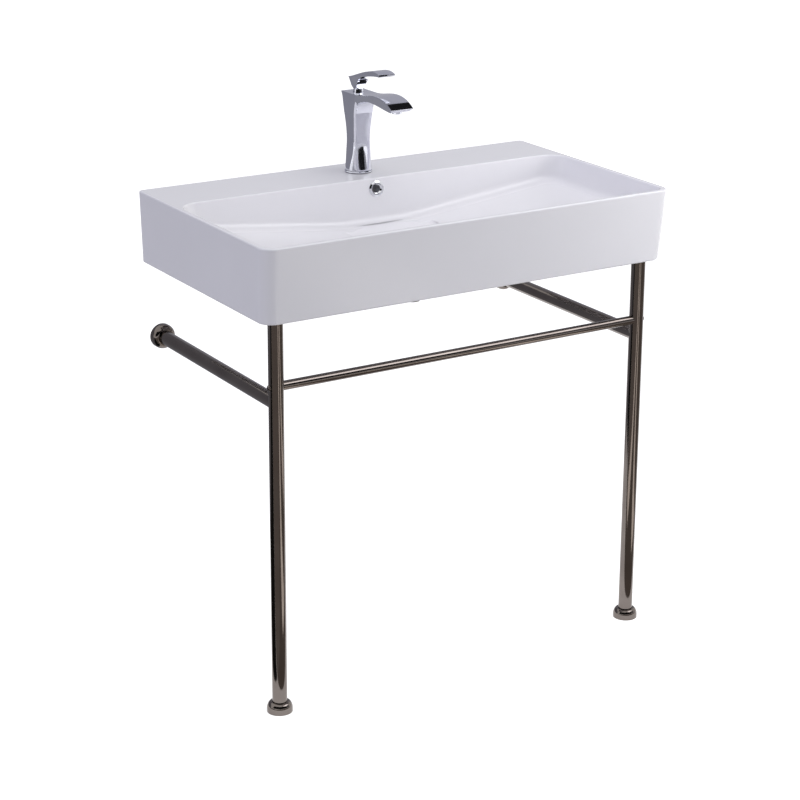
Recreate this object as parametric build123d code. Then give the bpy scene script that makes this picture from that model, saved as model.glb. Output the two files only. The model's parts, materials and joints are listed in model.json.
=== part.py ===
from build123d import *
from math import atan, degrees
import os

# Rectangular china basin on a tube stand, with a single-lever tap and a push waste.
# Sizes in millimetres. X runs to the right, Y towards the wall, Z up from the floor.

# Basin outside
BASIN_WIDTH = 800.0
BASIN_DEPTH = 460.0
BASIN_HEIGHT = 128.0
RIM_HEIGHT = 813.0
SIDE_DRAFT = 4.0
FRONT_DRAFT = 11.0
FRONT_CORNER_RADIUS = 25.0
BACK_CORNER_RADIUS = 8.0
RIM_EDGE_RADIUS = 2.8
BOWL_EDGE_RADIUS = 2.5
FOOT_EDGE_RADIUS = 3.5
APRON_WALL = 11.0

# Bowl
RIM_WALL = 9.0
DECK_DEPTH = 128.0
DECK_THICKNESS = 15.0
BOWL_WALL = 10.0
BOWL_FRONT_CORNER = 20.0
BOWL_BACK_CORNER = 38.0
BOWL_CREASE_RADIUS = 18.0
SIDE_FLOOR_DEPTH = 44.0
MID_FLOOR_DEPTH = 80.0
MID_FLOOR_HALF = 70.0
SIDE_LEAN = 0.30
FRONT_LEAN = 0.12
BACK_LEAN = 0.10
DISH_RADIUS = 104.0
DISH_DROP = 12.0

# Drain and overflow passages
DRAIN_FROM_WALL = 250.0
DRAIN_HOLE_CLEARANCE = 2.05
DRAIN_BOSS_DIAMETER = 88.0
DRAIN_BOSS_FOOT = 3.0
OVERFLOW_DROP = 19.0
OVERFLOW_HOLE_DIAMETER = 22.0
OVERFLOW_RING_DIAMETER = 29.0
OVERFLOW_RING_BORE = 15.0
OVERFLOW_RING_THICKNESS = 3.0
DUCT_WIDTH = 44.0
DUCT_GAP = 11.0
DUCT_WALL = 6.0
DUCT_FLOOR = 7.0

# Holes in the basin
TAP_FROM_WALL = 68.0
TAP_HOLE_DIAMETER = 35.0
WALL_BOLT_SPACING = 280.0
WALL_BOLT_DROP = 55.0
WALL_BOLT_HOLE = 14.0

# Stand
LEG_SIDE_INSET = 37.5
LEG_FRONT_INSET = 39.0
TUBE_DIAMETER = 25.4
TUBE_WALL = 1.2
SOCKET_CLEARANCE = 2.0
SOCKET_DEPTH = 34.0
LEG_BOSS_DIAMETER = 48.0
SIDE_RAIL_HEIGHT = 546.0
CROSS_RAIL_HEIGHT = 573.0
CROSS_RAIL_DIAMETER = 16.0
CROSS_RAIL_WALL = 1.2
FLANGE_MARGIN = 9.3
FLANGE_HEIGHT = 18.0
FLANGE_SIDE = 5.0
FLANGE_SHEET = 2.0
LEG_FOOT_GAP = 8.0
STUD_DIAMETER = 8.0
STUD_BORE = 8.1
CROSS_SCREW_DIAMETER = 5.0
CROSS_SCREW_HOLE = 5.4
CROSS_SCREW_HEAD = 10.0
CROSS_SCREW_LENGTH = 42.0
PLATE_THICKNESS = 3.0
PLATE_SETBACK = 2.5
PLATE_HOLE = 4.5
PLATE_HOLE_GAP = 1.3
SPIGOT_LENGTH = 30.0
SET_SCREW_DIAMETER = 4.0
SET_SCREW_FROM_WALL = 24.0
SPIGOT_BORE = 14.0
LEG_TOP_GAP = 15.0
PLUG_LENGTH = 22.0
PLUG_HEAD = 2.0
PAD_THICKNESS = 3.0
PAD_RADIUS = 15.0
COLLAR_SETBACK = 2.0
COLLAR_LENGTH = 10.0
CROSS_PLUG_LENGTH = 24.0

# Clearances
TUBE_FIT = 0.05
SCREW_FIT = 0.05
SEAT_GAP = 0.1
MOVING_GAP = 0.4

# Waste
WASTE_FLANGE_DIAMETER = 64.0
WASTE_FLANGE_THICKNESS = 2.5
WASTE_THREAD_DIAMETER = 41.9
WASTE_BORE = 35.0
WASTE_BELOW_BOSS = 37.0
WASTE_GASKET_THICKNESS = 1.5
WASTE_SEAT_RECESS = 2.0
SLOT_WIDTH = 14.0
WASTE_NUT_MARGIN = 8.05
WASTE_NUT_HEIGHT = 12.0
CONE_WASHER_HEIGHT = 8.0
SLIP_WASHER_THICKNESS = 1.5
TAIL_DIAMETER = 32.0
TAIL_WALL = 1.0
TAIL_THREAD = 0.6
TAIL_LENGTH = 45.0
TAIL_OVERLAP = 14.0
CAP_DIAMETER = 60.0
CAP_THICKNESS = 3.0
CAP_CROWN = 3.5
CAP_LIFT = 9.0
PUSH_TRAVEL = 8.0
CLICK_DIAMETER = 14.0
CLICK_LENGTH = 28.0
PLUNGER_DIAMETER = 6.0
PLUNGER_BORE = 6.1

# Tap
TAP_BASE_DIAMETER = 49.0
TAP_SEAL_THICKNESS = 1.0
TAP_RING_HEIGHT = 2.5
TAP_HEIGHT = 144.5
TAP_TOP_WIDTH = 44.0
TAP_TOP_CORNER = 6.5
SPOUT_REACH = 148.5
SPOUT_EDGE_RADIUS = 1.2
AERATOR_REACH = 130.0
AERATOR_DIAMETER = 18.0
AERATOR_PROUD = 3.0
AERATOR_LENGTH = 12.0
CARTRIDGE_DIAMETER = 25.0
CARTRIDGE_LENGTH = 28.0
CARTRIDGE_NECK = 13.0
CARTRIDGE_NUT_HEIGHT = 6.0
COVER_RING_MARGIN = 3.5
COVER_RING_HEIGHT = 4.5
BALL_RADIUS = 9.3
BALL_HOLLOW = 7.2
PIVOT_ABOVE_TOP = 0.5
NECK_HALF = 8.5
NECK_ROUND = 5.0
ROTOR_DIAMETER = 8.0
ROTOR_PIN_DIAMETER = 2.5
STEM_WIDTH = 4.0
STEM_DEPTH = 6.0
STEM_LENGTH = 19.0
LEVER_REACH = 97.0
LEVER_TIP_HALF = 16.0
LEVER_REAR_HALF = 12.5
LEVER_REAR = 15.0
LEVER_WIDEST = 60.0
INLET_BORE = 10.0
INLET_DEPTH = 20.0
INLET_SPACING = 17.0
TAP_STUD_LENGTH = 66.0
TAP_STUD_FORWARD = 11.0
CLAMP_DIAMETER = 46.0
CLAMP_GASKET_THICKNESS = 3.0
CLAMP_PLATE_THICKNESS = 2.5
STUD_NUT_ACROSS = 13.0
STUD_NUT_HEIGHT = 6.5
TAP_STUD_THREAD = 14.0
HORSESHOE_MOUTH = 30.0
INLET_BACK = 3.0
WATERWAY_HALF = 11.0
WATERWAY_HEIGHT = 3.5
WATERWAY_ROOF = 3.0
CARTRIDGE_SEAL = 1.0
ROTOR_DEPTH = 16.0
AERATOR_GRID = 2.4
LEVER_SCREW_RISE = 14.0
LEVER_SCREW_LENGTH = 5.0
LEVER_PLUG_LENGTH = 1.5
BALL_CUT = 4.2
BALL_CUT_TILT = 13.4

# Shape points of the tap: height, width and corner radius of its sections,
# forward reach and rise of its curves, radius and rise of the lever's flare, half width
# and rise of its flanks
TAP_RISES = [(0, 48.0, 22.5), (18, 44.6, 20.0), (53, 35.2, 12.5), (73, 36.2, 11.5), (107, 40.0, 9.0)]
SPOUT_TOP = [(50, 2.0), (85, 8.5), (110, 8.0), (130, 3.0)]
SPOUT_UNDER = [(116, -12.8), (85, -8.5), (62, -6.5), (45, -8.5), (32, -14.0), (24, -22.0)]
LEVER_TOP = [(28, 37.5), (60, 46.0), (78, 48.0)]
LEVER_UNDER = [(80, 40.0), (65, 38.0), (48, 35.0), (32, 30.5), (20, 24.0), (12, 16.0)]
LEVER_FLARE = [(20.0, 19.0), (115.0, 26.0), (115.0, 70.0), (0, 70.0)]
LEVER_FRONT = [(8.5, -2.0), (8.5, 7.0), (9.2, 14.0), (11.5, 24.0), (15.0, 34.0), (17.0, 42.0), (17.0, 60.0)]
LOW = (Align.CENTER, Align.CENTER, Align.MIN)

# Places worked out from the sizes
FRONT_Y = -BASIN_DEPTH / 2
WALL_Y = BASIN_DEPTH / 2
FOOT_Z = RIM_HEIGHT - BASIN_HEIGHT
LEG_X = BASIN_WIDTH / 2 - LEG_SIDE_INSET
LEG_Y = FRONT_Y + LEG_FRONT_INSET
TUBE_RADIUS = TUBE_DIAMETER / 2
TUBE_BORE_RADIUS = TUBE_RADIUS - TUBE_WALL
SOCKET_TOP = FOOT_Z + SOCKET_DEPTH
BACK_WALL_Y = WALL_Y - DECK_DEPTH
DRAIN_Y = WALL_Y - DRAIN_FROM_WALL
FLOOR_Z = RIM_HEIGHT - MID_FLOOR_DEPTH - DISH_DROP
SEAT_Z = FLOOR_Z - WASTE_SEAT_RECESS
BOSS_FOOT_Z = FOOT_Z + DRAIN_BOSS_FOOT
TAP_Y = WALL_Y - TAP_FROM_WALL
TAP_FOOT_Z = RIM_HEIGHT + TAP_SEAL_THICKNESS + TAP_RING_HEIGHT
TAP_TOP_Z = RIM_HEIGHT + TAP_HEIGHT
PIVOT_Z = TAP_TOP_Z + PIVOT_ABOVE_TOP
TAP_SECTIONS = [(TAP_FOOT_Z + rise, width, radius) for rise, width, radius in TAP_RISES]
TAP_SECTIONS.append((TAP_TOP_Z, TAP_TOP_WIDTH, TAP_TOP_CORNER))
SOCKET_DIAMETER = TUBE_DIAMETER + 2 * SOCKET_CLEARANCE
FLANGE_DIAMETER = TUBE_DIAMETER + 2 * FLANGE_MARGIN
PLATE_DIAMETER = FLANGE_DIAMETER - 2 * PLATE_SETBACK
PLATE_HOLE_SPACING = 2 * (TUBE_BORE_RADIUS - TUBE_FIT) + PLATE_HOLE + 2 * PLATE_HOLE_GAP
DRAIN_HOLE_DIAMETER = WASTE_THREAD_DIAMETER + 2 * DRAIN_HOLE_CLEARANCE
WASTE_NUT_DIAMETER = WASTE_THREAD_DIAMETER + 2 * WASTE_NUT_MARGIN
WASTE_FOOT_Z = BOSS_FOOT_Z - WASTE_BELOW_BOSS
COVER_RING_DIAMETER = CARTRIDGE_DIAMETER + 2 * COVER_RING_MARGIN


def between(bottom, top, radius):
    """Upright cylinder on the Z axis between two heights."""
    return Pos(0, 0, (bottom + top) / 2) * Cylinder(radius, top - bottom)


def ring(bottom, top, outer, inner):
    """Upright ring on the Z axis between two heights."""
    return between(bottom, top, outer) - between(bottom - 1, top + 1, inner)


def turned(points):
    """Solid of revolution about Z from an outline of radius and height."""
    return revolve(Plane.XZ * make_face(Polyline(*points, close=True)), Axis.Z)


def slab(x0, x1, y0, y1, z0, z1):
    """Box given by its lowest and highest corners."""
    middle = Pos((x0 + x1) / 2, (y0 + y1) / 2, (z0 + z1) / 2)
    return middle * Box(x1 - x0, y1 - y0, z1 - z0)


def hexagon(across, bottom, top):
    """Upright hexagonal prism with a given size across its flats."""
    outline = RegularPolygon(across / 2, 6, major_radius=False)
    return Pos(0, 0, bottom) * extrude(outline, top - bottom)


def outline(x_half, y_front, y_back, front_radius, back_radius):
    """Plan outline with its own corner radius at the front and at the back."""
    corners = [(-x_half, y_front), (x_half, y_front), (x_half, y_back), (-x_half, y_back)]
    face = make_face(Polyline(*corners, close=True))
    face = fillet(face.vertices().sort_by(Axis.Y)[:2], front_radius)
    return fillet(face.vertices().sort_by(Axis.Y)[-2:], back_radius)


def basin_block(inset, top_z, bottom_z):
    """Tapered block with the basin's outside shape, drawn in by an inset."""
    faces = []
    for z in (top_z, bottom_z):
        share = (RIM_HEIGHT - z) / BASIN_HEIGHT
        x_half = BASIN_WIDTH / 2 - SIDE_DRAFT * share - inset
        y_front = FRONT_Y + FRONT_DRAFT * share + inset
        y_back = WALL_Y - inset
        front_radius = max(FRONT_CORNER_RADIUS - inset, 4)
        back_radius = max(BACK_CORNER_RADIUS - inset, 2)
        faces.append(Pos(0, 0, z) * outline(x_half, y_front, y_back, front_radius, back_radius))
    return loft(faces, ruled=True)


def bowl_space(grow):
    """Space inside the bowl, grown by the wall thickness for the shell beneath it."""
    faces = []
    for depth in (-10.0, MID_FLOOR_DEPTH + 20.0):
        x_half = BASIN_WIDTH / 2 - RIM_WALL - SIDE_LEAN * depth + grow
        y_front = FRONT_Y + RIM_WALL + FRONT_LEAN * depth - grow
        y_back = BACK_WALL_Y - BACK_LEAN * depth + grow
        face = outline(x_half, y_front, y_back, BOWL_FRONT_CORNER + grow, BOWL_BACK_CORNER + grow)
        faces.append(Pos(0, 0, RIM_HEIGHT - depth) * face)
    walls = loft(faces, ruled=True)
    side_z = RIM_HEIGHT - SIDE_FLOOR_DEPTH - grow
    mid_z = RIM_HEIGHT - MID_FLOOR_DEPTH - grow
    side_x = BASIN_WIDTH / 2
    section = Polyline(
        (-side_x, RIM_HEIGHT + 20), (-side_x, side_z), (-MID_FLOOR_HALF, mid_z),
        (MID_FLOOR_HALF, mid_z), (side_x, side_z), (side_x, RIM_HEIGHT + 20), close=True)
    above_floor = extrude(Plane.XZ * make_face(section), BASIN_DEPTH, both=True)
    space = walls & above_floor
    space = fillet(floor_edges(space), BOWL_CREASE_RADIUS + grow)
    dish_top = FLOOR_Z + DISH_DROP - grow
    slope = DISH_DROP / (DISH_RADIUS - WASTE_FLANGE_DIAMETER / 2)
    foot_radius = WASTE_FLANGE_DIAMETER / 2 + 2
    top_radius = foot_radius + (DISH_DROP + 2) / slope
    dish = Cone(foot_radius, top_radius, DISH_DROP + 2)
    return space + Pos(0, DRAIN_Y, dish_top - DISH_DROP / 2 + 1) * dish


def floor_edges(space):
    """Edges where the bowl's floor meets its walls, without the ridges across the floor."""
    low = space.edges().filter_by(lambda edge: (edge @ 0.5).Z < RIM_HEIGHT - SIDE_FLOOR_DEPTH * 0.8)
    middle = (FRONT_Y + RIM_WALL + BACK_WALL_Y) / 2
    return low.filter_by(
        lambda edge: abs((edge @ 0.5).Y - middle) > 30 or abs((edge @ 0.5).X) > BASIN_WIDTH * 0.3)


def duct_block(wall, extra_width):
    """Upright leg and floor leg of the overflow passage, grown by the duct's own wall."""
    top = RIM_HEIGHT - 6 + wall / 2
    foot = BOSS_FOOT_Z + DUCT_FLOOR - wall
    back_top = BACK_WALL_Y - BACK_LEAN * 6 + BOWL_WALL
    back_foot = BACK_WALL_Y - BACK_LEAN * (RIM_HEIGHT - foot) + BOWL_WALL
    floor_top = foot + DUCT_GAP + 2 * wall
    section = Polyline(
        (back_top - 2 * wall, top), (back_top + DUCT_GAP + wall, top),
        (back_foot + DUCT_GAP + wall, foot), (DRAIN_Y, foot), (DRAIN_Y, floor_top),
        (back_foot - 2 * wall, floor_top), close=True)
    return extrude(Plane.YZ * make_face(section), DUCT_WIDTH / 2 + extra_width, both=True)


def overflow_axis():
    """Place of the overflow hole: on the bowl's back wall, square to it."""
    y = BACK_WALL_Y - BACK_LEAN * OVERFLOW_DROP
    z = RIM_HEIGHT - OVERFLOW_DROP
    return Pos(0, y, z) * Rot(90 - degrees(atan(BACK_LEAN)), 0, 0)


def basin():
    """China basin: apron, deck, bowl shell, leg sockets, drain boss and overflow duct."""
    block = basin_block(0, RIM_HEIGHT, FOOT_Z)
    bottom = block.faces().sort_by(Axis.Z)[0]
    block = fillet(bottom.edges(), FOOT_EDGE_RADIUS)
    hollow = basin_block(APRON_WALL, RIM_HEIGHT - DECK_THICKNESS, FOOT_Z - 1)
    hollow -= bowl_space(BOWL_WALL)
    for side in (-1, 1):
        hollow -= Pos(side * LEG_X, LEG_Y, 0) * between(FOOT_Z - 2, RIM_HEIGHT, LEG_BOSS_DIAMETER / 2)
    boss_top = FLOOR_Z + 1
    hollow -= Pos(0, DRAIN_Y, 0) * between(BOSS_FOOT_Z, boss_top, DRAIN_BOSS_DIAMETER / 2)
    hollow -= duct_block(DUCT_WALL, DUCT_WALL)
    body = block - hollow - bowl_space(0.0)
    rim = body.faces().filter_by(Plane.XY).sort_by(Axis.Z)[-1]
    body = fillet(rim.outer_wire().edges(), RIM_EDGE_RADIUS)
    rim = body.faces().filter_by(Plane.XY).sort_by(Axis.Z)[-1]
    body = fillet(rim.inner_wires().edges(), BOWL_EDGE_RADIUS)
    for side in (-1, 1):
        socket = between(FOOT_Z - 1, SOCKET_TOP, SOCKET_DIAMETER / 2)
        body -= Pos(side * LEG_X, LEG_Y, 0) * socket
        bolt = Pos(side * WALL_BOLT_SPACING / 2, WALL_Y, RIM_HEIGHT - WALL_BOLT_DROP)
        body -= bolt * Rot(90, 0, 0) * Cylinder(WALL_BOLT_HOLE / 2, 4 * APRON_WALL)
    tap_hole = between(RIM_HEIGHT - 2 * DECK_THICKNESS, RIM_HEIGHT + 1, TAP_HOLE_DIAMETER / 2)
    body -= Pos(0, TAP_Y, 0) * tap_hole
    body -= duct_block(0, 0)
    body -= Pos(0, DRAIN_Y, 0) * between(FOOT_Z - 1, RIM_HEIGHT, DRAIN_HOLE_DIAMETER / 2)
    body -= Pos(0, DRAIN_Y, 0) * between(SEAT_Z, RIM_HEIGHT - 20, WASTE_FLANGE_DIAMETER / 2 + 1)
    body -= overflow_axis() * Cylinder(OVERFLOW_HOLE_DIAMETER / 2, 2 * BOWL_WALL + 6)
    return body


def overflow_ring():
    """Stepped chrome ring in the overflow hole, with a sleeve through the bowl's wall."""
    outer = OVERFLOW_RING_DIAMETER / 2
    bore = OVERFLOW_RING_BORE / 2
    sleeve = OVERFLOW_HOLE_DIAMETER / 2 - TUBE_FIT
    thick = OVERFLOW_RING_THICKNESS
    body = turned([
        (bore, -BOWL_WALL), (sleeve, -BOWL_WALL), (sleeve, 0), (outer, 0), (outer, thick * 0.4),
        (outer - 3, thick), (outer - 4.5, thick), (outer - 5.5, thick * 0.55), (bore, thick * 0.2)])
    return overflow_axis() * body


def at_drain(body):
    """Move a piece made on the Z axis to the drain."""
    return Pos(0, DRAIN_Y, 0) * body


def waste_bowl_gasket():
    """Soft ring between the waste's flange and the seat in the bowl."""
    top = SEAT_Z + WASTE_GASKET_THICKNESS
    inner = WASTE_THREAD_DIAMETER / 2 + SEAT_GAP
    return at_drain(ring(SEAT_Z, top, WASTE_FLANGE_DIAMETER / 2 - 1.5, inner))


def waste_body():
    """Flanged and threaded body with overflow slots and a spider for the click cartridge."""
    under = SEAT_Z + WASTE_GASKET_THICKNESS
    top = under + WASTE_FLANGE_THICKNESS
    foot = WASTE_FOOT_Z
    thread = WASTE_THREAD_DIAMETER / 2
    flange = WASTE_FLANGE_DIAMETER / 2
    bore = WASTE_BORE / 2
    tail = TAIL_DIAMETER / 2 + TAIL_THREAD + SCREW_FIT
    body = turned([
        (tail, foot), (thread, foot), (thread, under), (flange, under), (flange, under + 1),
        (flange - 1.5, top), (bore + 3, top), (bore, top - 2.5), (bore, foot + TAIL_OVERLAP),
        (tail, foot + TAIL_OVERLAP)])
    slot_z = BOSS_FOOT_Z + DUCT_FLOOR
    slot = slab(-SLOT_WIDTH / 2, SLOT_WIDTH / 2, -thread - 5, thread + 5, slot_z, slot_z + DUCT_GAP)
    body -= slot
    spider = slab(-bore - 1, bore + 1, -2, 2, spider_z(), spider_z() + 5)
    spider += slab(-2, 2, -bore - 1, bore + 1, spider_z(), spider_z() + 5)
    spider += between(spider_z(), spider_z() + 5, CLICK_DIAMETER / 2 + 3)
    spider -= between(spider_z() - 1, spider_z() + 6, CLICK_DIAMETER / 4 + SCREW_FIT)
    return at_drain(body + spider)


def spider_z():
    """Underside of the spider inside the waste."""
    return BOSS_FOOT_Z - 8


def click_foot_z():
    """Seat of the click cartridge on top of the spider."""
    return spider_z() + 5


def waste_cone_washer():
    """Tapered soft washer under the drain boss."""
    top = BOSS_FOOT_Z
    inner = WASTE_THREAD_DIAMETER / 2 + SEAT_GAP
    outer = WASTE_NUT_DIAMETER / 2
    foot = top - CONE_WASHER_HEIGHT
    return at_drain(turned([
        (inner, foot), (outer, foot), (outer, foot + 3), (outer - 4, top), (inner, top)]))


def waste_slip_washer():
    """Thin hard washer that lets the nut turn against the soft one."""
    top = BOSS_FOOT_Z - CONE_WASHER_HEIGHT
    inner = WASTE_THREAD_DIAMETER / 2 + SEAT_GAP
    return at_drain(ring(top - SLIP_WASHER_THICKNESS, top, WASTE_NUT_DIAMETER / 2, inner))


def waste_lock_nut():
    """Hexagonal nut that clamps the waste to the basin."""
    top = BOSS_FOOT_Z - CONE_WASHER_HEIGHT - SLIP_WASHER_THICKNESS
    foot = top - WASTE_NUT_HEIGHT
    radius = WASTE_NUT_DIAMETER / 2
    nut = hexagon(WASTE_NUT_DIAMETER - 6, foot, top)
    nut &= turned([(0, foot), (radius - 4, foot), (radius + 1, foot + 3), (radius + 1, top), (0, top)])
    bore = WASTE_THREAD_DIAMETER / 2 + SCREW_FIT
    return at_drain(nut - between(foot - 1, top + 1, bore))


def waste_tail_pipe():
    """Straight outlet pipe screwed into the foot of the waste."""
    top = WASTE_FOOT_Z + TAIL_OVERLAP - SEAT_GAP
    outer = TAIL_DIAMETER / 2
    thread = ring(WASTE_FOOT_Z, top, outer + TAIL_THREAD, outer - TAIL_WALL)
    return at_drain(ring(top - TAIL_LENGTH, top, outer, outer - TAIL_WALL) + thread)


def waste_click_cartridge():
    """Press-press cartridge whose latch holds the plug open or shut."""
    foot = click_foot_z()
    outer = CLICK_DIAMETER / 2
    stem = CLICK_DIAMETER / 4
    body = turned([
        (0, spider_z() - 3), (stem, spider_z() - 3), (stem, foot), (outer, foot),
        (outer, foot + CLICK_LENGTH - 2), (outer - 1.5, foot + CLICK_LENGTH), (0, foot + CLICK_LENGTH)])
    bore = between(foot + 3, foot + CLICK_LENGTH + 1, PLUNGER_BORE / 2)
    return at_drain(body - bore)


def cap_underside():
    """Underside of the plug's cap with the waste open."""
    return SEAT_Z + WASTE_GASKET_THICKNESS + WASTE_FLANGE_THICKNESS + CAP_LIFT


def waste_plunger():
    """Rod from the click cartridge up to the cap."""
    foot = click_foot_z() + 3 + PUSH_TRAVEL + MOVING_GAP
    return at_drain(between(foot, cap_underside() - 2, PLUNGER_DIAMETER / 2))


def waste_cap():
    """Domed round plug cap with a hub that takes the plunger."""
    foot = cap_underside()
    top = foot + CAP_THICKNESS
    radius = CAP_DIAMETER / 2
    dome_radius = (radius ** 2 + CAP_CROWN ** 2) / (2 * CAP_CROWN)
    dome = Pos(0, 0, top + CAP_CROWN - dome_radius) * Sphere(dome_radius)
    cap = between(foot, top + CAP_CROWN, radius) & dome
    cap = fillet(cap.faces().sort_by(Axis.Z)[0].edges(), 1)
    hub = between(foot - 6, foot, CLICK_DIAMETER / 2) - between(foot - 7, foot - 2, PLUNGER_BORE / 2)
    return at_drain(cap + hub)


def waste_cap_seal():
    """Soft ring under the cap that shuts on the waste's flange."""
    top = cap_underside()
    return at_drain(ring(top - 0.8, top, CAP_DIAMETER / 2 - 5, CAP_DIAMETER / 2 - 13))


def at_tap(body):
    """Move a piece made on the Z axis to the tap."""
    return Pos(0, TAP_Y, 0) * body


def side_solid(points, half_width):
    """Solid across X from an outline of forward distance from the tap's axis and height."""
    section = Plane.YZ * make_face(Polyline(*[(-ahead, z) for ahead, z in points], close=True))
    return extrude(section, half_width, both=True)


def side_curve_solid(edges, half_width):
    """Solid across X from joined lines and curves in forward distance and height."""
    section = Plane.YZ * mirror(make_face(edges), Plane.YZ)
    return extrude(section, half_width, both=True)


def tap_base_seal():
    """Soft ring between the tap and the basin's deck."""
    top = RIM_HEIGHT + TAP_SEAL_THICKNESS
    outer = TAP_BASE_DIAMETER / 2 - 0.5
    return at_tap(ring(RIM_HEIGHT, top, outer, TAP_HOLE_DIAMETER / 2))


def tap_base_ring():
    """Chrome foot ring of the tap."""
    foot = RIM_HEIGHT + TAP_SEAL_THICKNESS
    outer = TAP_BASE_DIAMETER / 2
    inner = TAP_STUD_FORWARD + STUD_DIAMETER / 2 + MOVING_GAP
    return at_tap(turned([
        (inner, foot), (outer, foot), (outer, foot + TAP_RING_HEIGHT - 0.8),
        (outer - 0.8, foot + TAP_RING_HEIGHT), (inner, foot + TAP_RING_HEIGHT)]))


def tap_column():
    """Waisted upright of the tap, round at the foot and nearly square at the top."""
    faces = []
    for height, width, radius in TAP_SECTIONS:
        faces.append(Pos(0, 0, height) * RectangleRounded(width, width, radius))
    return loft(faces)


def spout():
    """Curved spout: a flat-topped arm that rises a little and turns down at its lip."""
    top_start = (TAP_TOP_WIDTH / 4, TAP_TOP_Z)
    lip_top = (SPOUT_REACH, TAP_TOP_Z - 7)
    top = Spline(top_start, *[(reach, TAP_TOP_Z + rise) for reach, rise in SPOUT_TOP], lip_top,
                 tangents=[(1, 0), (0.62, -0.78)])
    lip_foot = (SPOUT_REACH - 9, TAP_TOP_Z - 14)
    lip = Polyline(lip_top, (SPOUT_REACH - 0.8, TAP_TOP_Z - 9.5), lip_foot)
    arch_foot = (TAP_TOP_WIDTH / 4, TAP_TOP_Z - 40)
    under = Spline(lip_foot, *[(reach, TAP_TOP_Z + rise) for reach, rise in SPOUT_UNDER], arch_foot)
    back = Line(arch_foot, top_start)
    arm = side_curve_solid(top + lip + under + back, TAP_TOP_WIDTH / 2)
    long_edges = arm.edges().filter_by(lambda edge: (edge @ 0.5).Z > TAP_TOP_Z - 16)
    return fillet(long_edges.filter_by(lambda edge: abs((edge @ 0.5).X) > 5), SPOUT_EDGE_RADIUS)


def tap_body():
    """Cast tap body: column and spout, with the cartridge well, waterway and inlets."""
    body = tap_column() + spout()
    crown = between(TAP_FOOT_Z, TAP_TOP_Z - COVER_RING_HEIGHT, CARTRIDGE_DIAMETER / 2 + 0.5)
    well_foot = cartridge_foot()
    body -= crown & between(well_foot, TAP_TOP_Z, CARTRIDGE_DIAMETER)
    body -= between(TAP_TOP_Z - COVER_RING_HEIGHT, TAP_TOP_Z + 5, COVER_RING_DIAMETER / 2 + TUBE_FIT)
    floor = TAP_TOP_Z - WATERWAY_ROOF - WATERWAY_HEIGHT
    roof = TAP_TOP_Z - WATERWAY_ROOF
    waterway = side_solid([
        (CARTRIDGE_DIAMETER / 2, floor), (45, floor + 1), (80, floor + 5), (AERATOR_REACH + 5, floor + 1),
        (AERATOR_REACH + 5, roof - 1), (110, roof + 3), (80, roof + 4), (45, roof), (0, roof), (0, floor)],
        WATERWAY_HALF)
    body -= waterway
    aerator_top = aerator_foot() + AERATOR_LENGTH
    mouth = Cylinder(AERATOR_DIAMETER / 2 + SCREW_FIT, AERATOR_LENGTH)
    body -= Pos(0, -AERATOR_REACH, aerator_top - AERATOR_LENGTH / 2) * mouth
    for side in (-1, 1):
        inlet = Pos(side * INLET_SPACING / 2, INLET_BACK, 0)
        body -= inlet * between(TAP_FOOT_Z - 1, TAP_FOOT_Z + INLET_DEPTH, INLET_BORE / 2)
        body -= inlet * between(TAP_FOOT_Z, well_foot + 1, INLET_BORE / 4)
    stud_top = TAP_FOOT_Z + TAP_STUD_THREAD
    body -= Pos(0, -TAP_STUD_FORWARD, 0) * between(TAP_FOOT_Z - 1, stud_top, STUD_BORE / 2)
    return at_tap(body)


def aerator_foot():
    """Lowest face of the aerator under the spout."""
    return TAP_TOP_Z - 14 - AERATOR_PROUD


def tap_aerator_housing():
    """Threaded ring that holds the aerator's insert."""
    foot = aerator_foot()
    outer = AERATOR_DIAMETER / 2
    bore = outer - 2
    body = turned([
        (bore, foot), (outer - 0.8, foot), (outer, foot + 0.8), (outer, foot + AERATOR_LENGTH - SEAT_GAP),
        (bore + 1, foot + AERATOR_LENGTH - SEAT_GAP), (bore + 1, foot + 2), (bore, foot + 2)])
    return at_tap(Pos(0, -AERATOR_REACH, 0) * body)


def tap_aerator_insert():
    """Plastic insert with a cross grid over the outlet."""
    foot = aerator_foot() + 2
    outer = AERATOR_DIAMETER / 2 - 1 - TUBE_FIT
    body = ring(foot, foot + AERATOR_LENGTH - 4, outer, outer - 1.5)
    for step in range(-2, 3):
        offset = step * AERATOR_GRID
        bars = slab(offset - 0.4, offset + 0.4, -outer, outer, foot, foot + 2)
        bars += slab(-outer, outer, offset - 0.4, offset + 0.4, foot, foot + 2)
        body += bars & between(foot, foot + 2, outer)
    return at_tap(Pos(0, -AERATOR_REACH, 0) * body)


def cartridge_top():
    """Shoulder of the ceramic cartridge, where its nut bears."""
    return PIVOT_Z - BALL_RADIUS - CARTRIDGE_NUT_HEIGHT + 0.5


def cartridge_foot():
    """Foot of the cartridge's well in the tap's body."""
    return cartridge_top() - CARTRIDGE_LENGTH


def tap_cartridge():
    """Ceramic cartridge: housing with its neck and a bore for the turning spindle."""
    foot = cartridge_foot() + CARTRIDGE_SEAL
    outer = CARTRIDGE_DIAMETER / 2
    neck_top = cartridge_top() + CARTRIDGE_NUT_HEIGHT - 1
    body = turned([
        (0, foot), (outer, foot), (outer, cartridge_top()), (CARTRIDGE_NECK / 2, cartridge_top()),
        (CARTRIDGE_NECK / 2, neck_top), (0, neck_top)])
    bore = between(cartridge_top() - ROTOR_DEPTH, neck_top + 1, ROTOR_DIAMETER / 2 + SCREW_FIT)
    for side in (-1, 1):
        port = Pos(side * INLET_SPACING / 2, INLET_BACK, 0)
        body -= port * between(foot - 1, foot + 5, INLET_BORE / 4)
    return at_tap(body - bore)


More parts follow.
